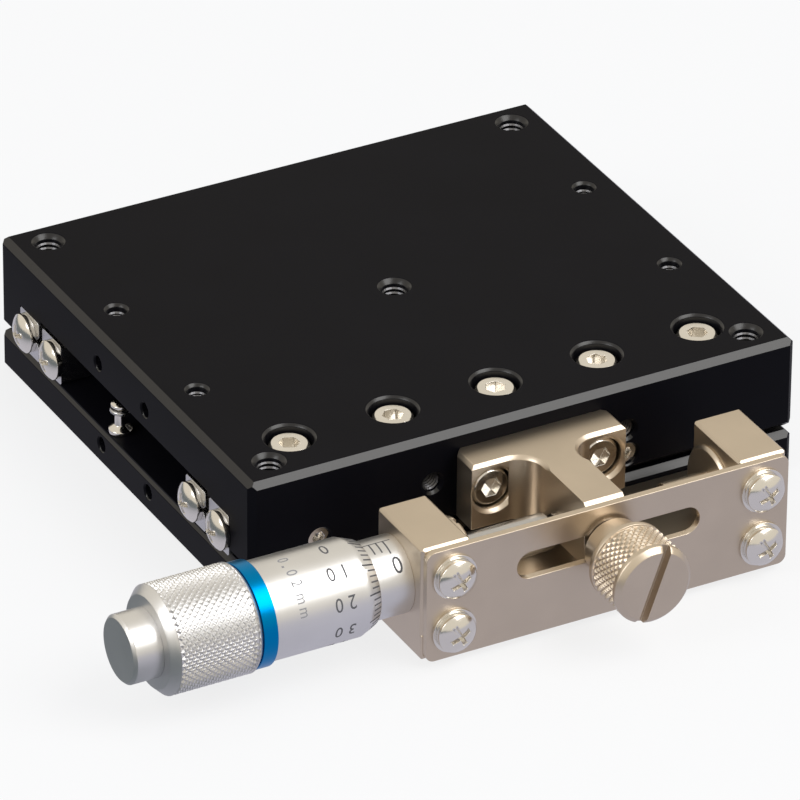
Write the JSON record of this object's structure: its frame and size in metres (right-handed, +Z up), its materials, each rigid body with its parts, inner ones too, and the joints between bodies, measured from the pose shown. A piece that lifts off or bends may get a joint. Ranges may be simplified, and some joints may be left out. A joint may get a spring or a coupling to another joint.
{
  "type": "linear translation stage",
  "caption": "Single-axis crossed-roller translation stage with a side-mounted micrometer head, a return spring and a clamp screw",
  "frame": {"origin": "centre of the base's flat underside, the face it is mounted on", "axes": "+X along the travel, away from the micrometer's knob; +Z up through the table; -Y towards the micrometer and its bracket"},
  "size_m": [0.107, 0.1046, 0.02],
  "materials": {
    "black_anodised": "satin black anodised, bead-blasted grain",
    "ground_steel": "hardened steel, ground and polished",
    "plated_screw": "bright nickel plate",
    "nickel_plate": "satin electroless nickel",
    "satin_chrome": "satin chrome",
    "blue_anodised": "blue anodised, glossy"
  },
  "bodies": {
    "base": {"base_plate": "black_anodised", "inner_rail_front": "ground_steel", "inner_rail_rear": "ground_steel", "inner_rail_screws": "plated_screw", "inner_rail_end_screws": "plated_screw", "bracket": "nickel_plate", "bracket_screws": "plated_screw", "front_plate": "nickel_plate", "plate_washers": "plated_screw", "plate_screws": "plated_screw", "stop_plug": "nickel_plate", "micrometer_sleeve": "satin_chrome", "sleeve_nut": "nickel_plate", "base_spring_post": "plated_screw", "return_spring": "ground_steel"},
    "table_body": {"table": "black_anodised", "outer_rail_front": "ground_steel", "outer_rail_rear": "ground_steel", "front_rail_screws": "plated_screw", "rear_rail_screws": "plated_screw", "outer_rail_end_screws": "plated_screw", "preload_screws": "plated_screw", "table_spring_post": "plated_screw", "drive_arm": "nickel_plate", "arm_screws": "plated_screw", "drive_pad": "ground_steel"},
    "front_cage": {"cage_front": "ground_steel", "rollers_front": "ground_steel"},
    "rear_cage": {"cage_rear": "ground_steel", "rollers_rear": "ground_steel"},
    "ball": {"spindle_ball": "ground_steel"},
    "thimble_body": {"spindle": "ground_steel", "thimble": "satin_chrome", "colour_ring": "blue_anodised", "knurled_grip": "satin_chrome", "end_knob": "satin_chrome"},
    "washer": {"clamp_washer": "plated_screw"},
    "clamp": {"clamp_screw": "nickel_plate"}
  },
  "joints": [
    {"name": "spindle_advance", "type": "slide", "parent": "base", "child": "ball", "axis": [1, 0, 0], "range_m": [-0.01, 0.003]},
    {"name": "thimble_turn", "type": "hinge", "parent": "ball", "child": "thimble_body", "pos_m": [0, -0.0488, 0.0102], "axis": [1, 0, 0], "range_deg": [-3600.1, 1080.1]},
    {"name": "table_slide", "type": "slide", "parent": "base", "child": "table_body", "axis": [1, 0, 0], "range_m": [-0.01, 0.003], "deforming": ["return_spring"]},
    {"name": "front_cage_slide", "type": "slide", "parent": "base", "child": "front_cage", "axis": [1, 0, 0], "range_m": [-0.005, 0.0015]},
    {"name": "rear_cage_slide", "type": "slide", "parent": "base", "child": "rear_cage", "axis": [1, 0, 0], "range_m": [-0.005, 0.0015]},
    {"name": "clamp_advance", "type": "slide", "parent": "table_body", "child": "washer", "axis": [0, 1, 0], "range_m": [-0.0005, 0.0002292]},
    {"name": "clamp_turn", "type": "hinge", "parent": "washer", "child": "clamp", "pos_m": [0.0005, -0.0557, 0.0114], "axis": [0, 1, 0], "range_deg": [-360.1, 165.1]}
  ],
  "couplings": [
    {"joint": "thimble_turn", "follows": "table_slide", "rad_per_m": 6283.2},
    {"joint": "spindle_advance", "follows": "table_slide", "ratio": 1},
    {"joint": "front_cage_slide", "follows": "table_slide", "ratio": 0.5},
    {"joint": "rear_cage_slide", "follows": "table_slide", "ratio": 0.5},
    {"joint": "clamp_turn", "follows": "clamp_advance", "rad_per_m": 12566}
  ]
}
